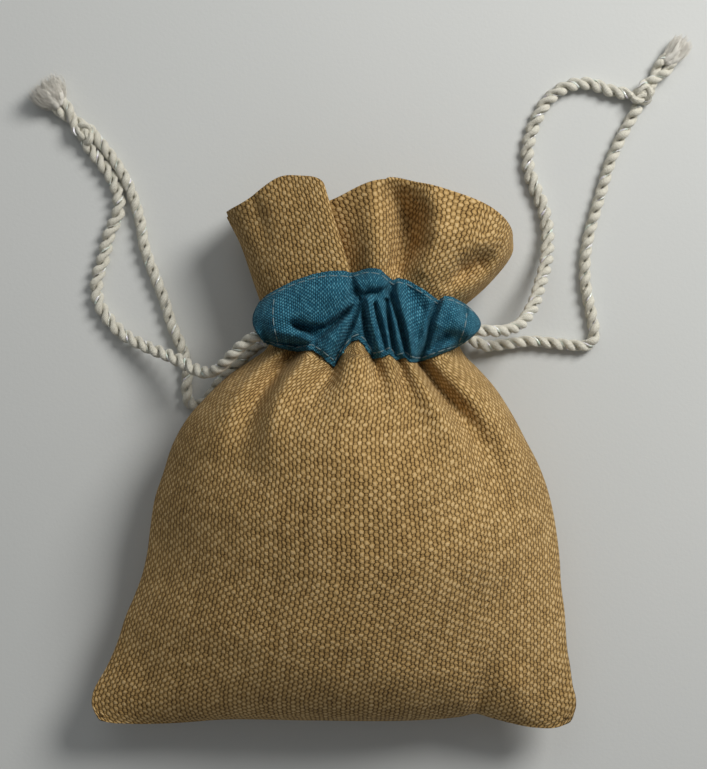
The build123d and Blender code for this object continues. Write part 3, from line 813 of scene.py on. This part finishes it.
def tuck(points, uv):
    """Turns the side and base edges under with a small roll, as a seam sewn from inside is."""
    points = points.copy()
    way = np.sign(points[10, points.shape[1] // 2, 2] - SEAM_Z)
    across, along = arc_lengths(points, 1), arc_lengths(points, 0)
    nearest = np.minimum(np.minimum(across, across[:, -1:] - across), along)
    points[..., 2] += way * SEAM_PUFF * np.exp(-nearest / 1.4)
    for inward, height in SEAM_ROLL:
        left, right = points[:, :1].copy(), points[:, -1:].copy()
        left[..., 0] += inward
        right[..., 0] -= inward
        left[..., 2] = right[..., 2] = SEAM_Z + way * height
        points = np.concatenate([left, points, right], axis=1)
        uv = np.concatenate([uv[:, :1] - (0.5, 0), uv, uv[:, -1:] + (0.5, 0)], axis=1)
    for inward, height in SEAM_ROLL:
        base = points[:1].copy()
        base[..., 1] += inward
        base[..., 2] = SEAM_Z + way * height
        points = np.concatenate([base, points], axis=0)
        uv = np.concatenate([uv[:1] - (0, 0.5), uv], axis=0)
    return points, uv


COLLAR_EASE = 0.82  # the collar spreads its cloth out again


def cloth_uv(points):
    """Cloth millimetres for every point: threads run along the surface, and folds use cloth up."""
    across, along = arc_lengths(points, 1), arc_lengths(points, 0)
    across = (across / across[:, -1:] - 0.5) * CLOTH_WIDTH
    # above the gathers the threads run straight again, so the collar starts on one thread
    collar = BODY_ROWS + NECK_ROWS
    share = np.clip((np.arange(len(points)) - BODY_ROWS) / NECK_ROWS, 0, 1)[:, None]
    across = across * (1 - share) + across[collar:].mean(axis=0) * COLLAR_EASE * share
    along = along + (along[collar].mean() - along[collar]) * share
    return np.stack([across, along], axis=-1)


def panel(node, front):
    """One canvas panel, body and collar in one piece. Returns its rows of points."""
    body = body_surface(front)
    collar = collar_surface(front)
    if front:
        body = lifted(body, FRONT_FOLDS)
        collar = lifted(collar, COLLAR_FOLDS)
    else:  # the same folds, turned over, and only where the back doesn't lie on the table
        flipped = body.copy()
        flipped[..., 2] = 2 * SEAM_Z - body[..., 2]
        flipped = lifted(flipped, FRONT_FOLDS, np.clip((body[..., 1] + 14.0) / 22.0, 0, 1) * 0.75)
        body[..., 2] = np.maximum(2 * SEAM_Z - flipped[..., 2], TABLE_GAP)
    start, end = body[-1], collar[0]
    t = np.linspace(0, 1, NECK_ROWS + 2)[1:-1, None, None]
    neck = start * (1 - t) + end * t
    ease = (t * t * (3 - 2 * t))[..., 0]
    neck[..., 2] = start[..., 2] * (1 - ease) + end[..., 2] * ease
    points = np.concatenate([body, neck, collar])
    points, uv = tuck(points, cloth_uv(points))
    piece = cloth_mesh(f"{node}_canvas", points, uv, front, CANVAS, CANVAS_THICKNESS)
    declare(piece, "pouch", node)
    return points


front_points = panel("front_panel", True)
back_points = panel("back_panel", False)

# ---- casing bands ----
# Each fold line of the front band, from its lower edge to its upper edge, as the camera sees it.
BAND_EDGES = (
    ((-14.6, 22.7), (-15.6, 31.2)), ((-13.2, 22.2), (-14.2, 32.5)), ((-11.3, 21.5), (-12.2, 33.7)),
    ((-7.6, 20.7), (-8.5, 35.6)), ((-4.6, 21.2), (-4.3, 37.0)), ((-2.4, 19.7), (-1.2, 37.6)),
    ((0.0, 17.5), (2.0, 37.7)), ((1.7, 20.6), (3.4, 37.3)), ((3.6, 22.9), (4.5, 37.4)),
    ((5.0, 23.5), (5.9, 37.9)), ((6.4, 22.3), (7.2, 38.2)), ((8.2, 19.2), (8.6, 38.2)),
    ((9.8, 19.6), (9.8, 37.9)), ((11.6, 20.6), (11.1, 36.6)), ((13.1, 19.0), (12.3, 35.7)),
    ((15.0, 19.6), (13.3, 36.2)), ((16.1, 18.7), (15.2, 35.8)), ((17.0, 18.5), (19.0, 33.6)),
    ((18.2, 18.7), (21.8, 31.5)), ((19.8, 19.3), (23.0, 32.5)), ((21.8, 20.1), (24.8, 32.2)),
    ((25.0, 21.3), (27.3, 30.8)), ((27.2, 22.6), (28.6, 29.7)), ((28.8, 23.8), (29.4, 28.9)),
)
# Folds of the band, as the camera sees them: x, y, height, width.
BAND_FOLDS = (
    # the big left lobe and its branching crease
    ((-12.0, 27.0, 0.8, 3.5), (-6.0, 30.5, 1.6, 4.2), (0.0, 33.2, 1.4, 3.6), (3.0, 34.4, 0.8, 2.6)),
    ((-9.6, 26.9, 0.0, 0.7), (-8.0, 26.3, -3.0, 0.7), (-5.6, 25.5, -4.4, 0.8), (-3.3, 24.8, -5.0, 1.1),
     (-1.6, 25.6, -5.0, 0.8), (0.4, 27.1, -4.6, 0.7), (2.2, 28.7, -3.6, 0.6), (3.6, 30.1, -1.0, 0.5)),
    ((-3.3, 24.8, -2.4, 1.0), (-4.0, 23.2, -2.2, 0.7), (-4.6, 21.4, -1.2, 0.7)),
    ((3.8, 28.6, 0.8, 1.2), (2.0, 26.0, 1.7, 1.7), (0.2, 23.2, 1.9, 1.9), (-1.4, 20.6, 1.2, 1.6)),
    ((-12.6, 24.9, 0.9, 1.2), (-9.0, 24.2, 1.4, 1.3), (-5.8, 23.2, 1.2, 1.0)),
    ((-13.6, 22.9, -1.2, 0.5), (-10.4, 22.5, -2.0, 0.5), (-7.0, 22.1, -2.2, 0.5), (-4.9, 22.3, -1.2, 0.5)),
    ((-2.0, 33.8, 0.0, 1.2), (-5.6, 31.2, -0.7, 1.6), (-9.0, 30.2, -0.6, 1.6), (-12.0, 30.4, 0.0, 1.5)),
    # small puff above the narrow pleats
    ((5.6, 35.6, 0.9, 1.7), (7.6, 35.4, 1.4, 1.9), (9.8, 34.6, 1.2, 1.6)),
    ((4.9, 33.4, -1.4, 0.6), (6.0, 32.5, -2.4, 0.6), (7.4, 33.1, -1.6, 0.6), (9.0, 33.0, -1.4, 0.6),
     (10.6, 33.8, -0.8, 0.6)),
    # first narrow pleat, in two rolls
    ((5.8, 31.6, -1.8, 0.55), (6.3, 28.0, -2.4, 0.6), (7.0, 24.0, -2.4, 0.6), (8.0, 19.8, -1.6, 0.5)),
    ((7.2, 31.4, 1.5, 0.9), (7.9, 27.4, 2.0, 1.0), (8.9, 23.2, 2.0, 1.0), (9.7, 19.9, 1.4, 0.9)),
    ((8.5, 30.6, -1.4, 0.4), (9.4, 27.2, -1.7, 0.42), (10.4, 23.4, -1.3, 0.4), (10.9, 21.0, -0.6, 0.4)),
    ((9.3, 31.4, 1.2, 0.7), (10.2, 28.0, 1.4, 0.7), (11.1, 24.2, 1.2, 0.6), (11.5, 21.2, 0.7, 0.5)),
    ((10.9, 31.4, -2.2, 0.5), (11.5, 27.4, -2.6, 0.5), (12.1, 23.6, -2.4, 0.45), (12.5, 20.0, -1.4, 0.4)),
    # second narrow pleat
    ((11.9, 30.2, 0.8, 0.8), (12.7, 26.4, 1.5, 0.85), (13.5, 22.6, 1.6, 0.9), (14.0, 19.6, 1.1, 0.8)),
    ((12.3, 35.4, -2.0, 0.8), (11.6, 33.4, -2.0, 0.8), (12.4, 31.0, -2.2, 0.6), (13.7, 27.2, -2.8, 0.55),
     (14.6, 23.4, -2.8, 0.5), (15.5, 19.4, -1.8, 0.45)),
    # the wide pleat that narrows to a point
    ((13.3, 35.2, 1.2, 1.0), (13.6, 32.4, 1.7, 1.1), (14.7, 28.4, 1.9, 1.1), (15.7, 24.2, 1.8, 0.9),
     (16.3, 19.8, 1.2, 0.8)),
    ((15.6, 34.4, -0.8, 1.4), (16.8, 32.0, -1.8, 1.6), (18.2, 29.8, -1.9, 1.6), (18.6, 27.6, -0.8, 1.4),
     (17.6, 24.0, -0.5, 1.0)),
    ((20.2, 31.2, 0.8, 1.0), (19.4, 28.2, 1.2, 1.0), (18.9, 25.0, 1.3, 1.0), (17.8, 20.6, 0.8, 0.8)),
    ((22.0, 31.6, -1.8, 0.6), (20.9, 29.6, -2.4, 0.6), (20.1, 27.4, -2.4, 0.6), (19.8, 24.8, -2.2, 0.6),
     (19.0, 21.8, -2.0, 0.6), (17.6, 19.0, -1.2, 0.5)),
    # the right lobe
    ((23.6, 32.2, 1.0, 1.0), (22.4, 29.8, 1.6, 1.3), (21.4, 26.8, 1.3, 1.1)),
    ((24.6, 30.0, 0.6, 2.0), (26.2, 27.4, 1.4, 2.6), (27.4, 25.2, 0.8, 2.0)),
    ((25.6, 24.2, -0.5, 1.0), (23.4, 23.9, -2.2, 1.0), (21.8, 22.8, -2.2, 0.9), (20.2, 21.0, -1.2, 0.7)),
    ((25.8, 22.4, 0.6, 0.9), (23.2, 21.6, 1.0, 0.9), (20.8, 20.4, 0.6, 0.8)),
)
# Edge of the left lobe, over the pleats.
LOBE_EDGE = (
    (3.6, 37.4, 0.7, 1.6), (5.0, 34.4, 1.1, 1.6), (5.6, 32.0, 1.5, 1.6), (5.4, 29.4, 1.8, 1.6),
    (4.3, 26.4, 1.8, 1.6), (2.6, 23.0, 1.7, 1.6), (1.2, 20.0, 1.5, 1.4), (0.2, 17.6, 1.0, 1.2),
)
BAND_COLUMNS, BAND_ROWS = 281, 91


def height_under(tree, x, y, fallback, front):
    """Height of the cloth that lies under a band at each place."""
    found = np.full(len(x), fallback, float)
    for k, (px, py) in enumerate(zip(x, y)):
        if front:
            start = Vector(EYE)
            ray = (Vector((px, py, SEAM_Z)) - start).normalized()
        else:
            start, ray = Vector((px, py, -40.0)), Vector((0, 0, 1))
        hit = tree.ray_cast(start, ray)[0]
        if hit is not None:
            found[k] = hit.z
    return found


def settle(values):
    """Evens out a row of heights, over seven at a time."""
    return np.convolve(np.pad(values, 3, mode="edge"), np.ones(7) / 7, mode="valid")


def band_surface(front, cloth):
    """A casing band's rows, from its lower edge to its upper edge, over the panel's cloth."""
    tree = BVHTree.FromPolygons(cloth.reshape(-1, 3).tolist(), grid_faces(*cloth.shape[:2]).tolist())
    edges = np.array(BAND_EDGES, float)
    lengths = arc_lengths(edges.mean(axis=1), 0)
    at = np.linspace(0, lengths[-1], BAND_COLUMNS)
    lines = at_lengths(edges.reshape(-1, 4), lengths, at).reshape(BAND_COLUMNS, 2, 2)
    q = np.linspace(0, 1, BAND_ROWS)[:, None]
    seen = lines[None, :, 0] * (1 - q[..., None]) + lines[None, :, 1] * q[..., None]
    from_left, from_right = at[None, :], (at[-1] - at)[None, :]
    belly = np.sin(pi * q)
    # the open ends bulge outwards
    seen[..., 0] -= 1.9 * belly * np.exp(-((from_left / 4.0) ** 2))
    seen[..., 0] += 1.5 * belly * np.exp(-((from_right / 3.0) ** 2))
    fallback = 20.5 if front else 4.0
    low, high = (settle(height_under(tree, *seen[row].T, fallback, front)) for row in (0, -1))
    way, crown, puff = (1.0, 26.2, 0.85) if front else (-1.0, 1.1, 0.9)
    z = (low + way * 0.55) * (1 - q) + (high + way * 0.6) * q
    z = z + belly**0.6 * (crown - z) * puff
    # the open ends roll down towards the side, and less where the cords come out
    for away, reach in ((from_left, 4.2), (from_right, 3.6)):
        turned = 1.0 - np.sqrt(1.0 - np.clip(1.0 - away / reach, 0, 0.98) ** 2)
        drop = (1.2 + 4.2 * np.clip((q - 0.22) / 0.25, 0, 1)) * turned
        z = z - drop if front else z + drop * 0.35
    hold = np.clip(np.minimum(q, 1 - q) / 0.09, 0.12, 1.0)
    folds = sum(fold(seen, line) for line in BAND_FOLDS) + fold(seen, LOBE_EDGE, pleat_edge=True)
    folds = folds + waves(seen, 7.0, 21) * 0.12
    if front:
        z = z + folds * hold
        # the cords run inside, so the cloth over them stays above them
        over_cord = 22.2 - 9.0 * (1 - np.exp(-(((seen[..., 1] - 24.9) / 2.5) ** 4)))
        under = height_under(tree, *seen.reshape(-1, 2).T, 0.0, True).reshape(z.shape)
        for least in (over_cord, under + 0.65):
            z = least + np.logaddexp(0, (z - least) * 4.0) / 4.0
        x, y = seen_to_real(seen[..., 0], seen[..., 1], z)
    else:
        z = np.maximum(z - folds * hold * 0.8, 0.35)
        x, y = seen[..., 0], seen[..., 1]
    return np.stack([x, y, z], axis=-1)


def stitches(name, lines, thread, material, node, length, pitch, lift):
    """Separate stitches that follow lines on the cloth, sunk a little at both ends."""
    parts = []
    for line in lines:
        lengths = arc_lengths(line, 0)
        for start in np.arange(0.3, lengths[-1] - length, pitch):
            at = start + np.linspace(0, length, 6)
            stitch = at_lengths(line, lengths, at)
            stitch[:, 2] += lift * np.array([-1.6, 0.6, 1.0, 1.0, 0.6, -1.6])
            parts.append((0, tube(stitch, thread / 2, 6)))
    verts, faces, uvs, _ = join(parts)
    return declare(make_mesh(name, verts, faces, uvs, [material]), "pouch", node)


def band(node, front, cloth):
    """One casing band with its rows of topstitching."""
    points = band_surface(front, cloth)
    across, along = arc_lengths(points, 1).mean(axis=0), arc_lengths(points, 0).mean(axis=1)
    uv = np.stack(np.meshgrid(across, along), axis=-1)
    piece = cloth_mesh(f"{node}_cotton", points, uv, front, COTTON, COTTON_THICKNESS)
    declare(piece, "pouch", node)
    lower, upper = points[6], points[-6]
    ends = [points[8:-8, 20], points[10:-10, -16]]
    for words, lines in (("lower", [lower[4:-4]]), ("upper", [upper[4:-4]]), ("end", ends)):
        stitches(f"{node}_{words}_topstitch", lines, 0.24, TOPSTITCH,
                 f"{node}_{words}_stitches", 2.0, 2.25, 0.04 if front else -0.04)


band("front_casing", True, front_points)
band("back_casing", False, back_points)

# ---- seams: threads just inside the pouch's edges ----
SEAM_INSET = 1.1
EDGE = 3  # the sheet's own edge, past the rolled-under rows
for side, edge, inward in (
    ("left", front_points[8:190:2, EDGE], (SEAM_INSET, 0)),
    ("right", front_points[8:190:2, -EDGE - 1], (-SEAM_INSET, 0)),
    ("base", front_points[EDGE, 8:-8], (0, SEAM_INSET)),
):
    line = np.column_stack([edge[:, :2] + inward, np.full(len(edge), SEAM_Z)])
    stitches(f"{side}_seam_thread", [line], 0.34, SEAM_THREAD, f"{side}_seam_stitches", 1.3, 2.4, 0.0)

# ---- cord inside the casing, from where each free strand starts ----
NECK_X = 6.7
RUN = 22.4
for side, way, front, back in (
    ("left", 1, LEFT_FRONT_ROUTE[0], LEFT_BACK_ROUTE[0]), ("right", -1, RIGHT_FRONT_ROUTE[0], RIGHT_BACK_ROUTE[0]),
):
    runs = []
    for x, y, z in (front, back):
        runs += twisted(np.array([(x + way * reach, y, z) for reach in (0.0, 11.0, RUN)]), x)
    cord_piece(f"{side}_cord_in_casing", runs, f"{side}_drawcord", f"{side}_cord_casing_runs")
    # the loop goes round the far side of the neck, from the front band to the back one
    turn = np.linspace(pi / 2, -pi / 2, 40)
    x = NECK_X + way * (12.2 + np.cos(turn) * 7.6)
    z = (front[2] + back[2]) / 2 + (front[2] - back[2]) / 2 * np.sin(turn)
    bend = np.stack([x, np.linspace(front[1], back[1], 40), z], axis=1)
    near = front[0] + way * (RUN + 0.5)
    loop = np.concatenate([[(near, *front[1:])], bend, [(near, *back[1:])]])
    cord_piece(f"{side}_cord_loop", twisted(loop), "pouch", f"{side}_cord_casing_loop")

# ---- floor ----
corners = [(-900, -900, 0), (900, -900, 0), (900, 900, 0), (-900, 900, 0)]
floor = make_mesh("floor", corners, [(0, 1, 2, 3)], np.zeros((4, 2)), [floor_material()])
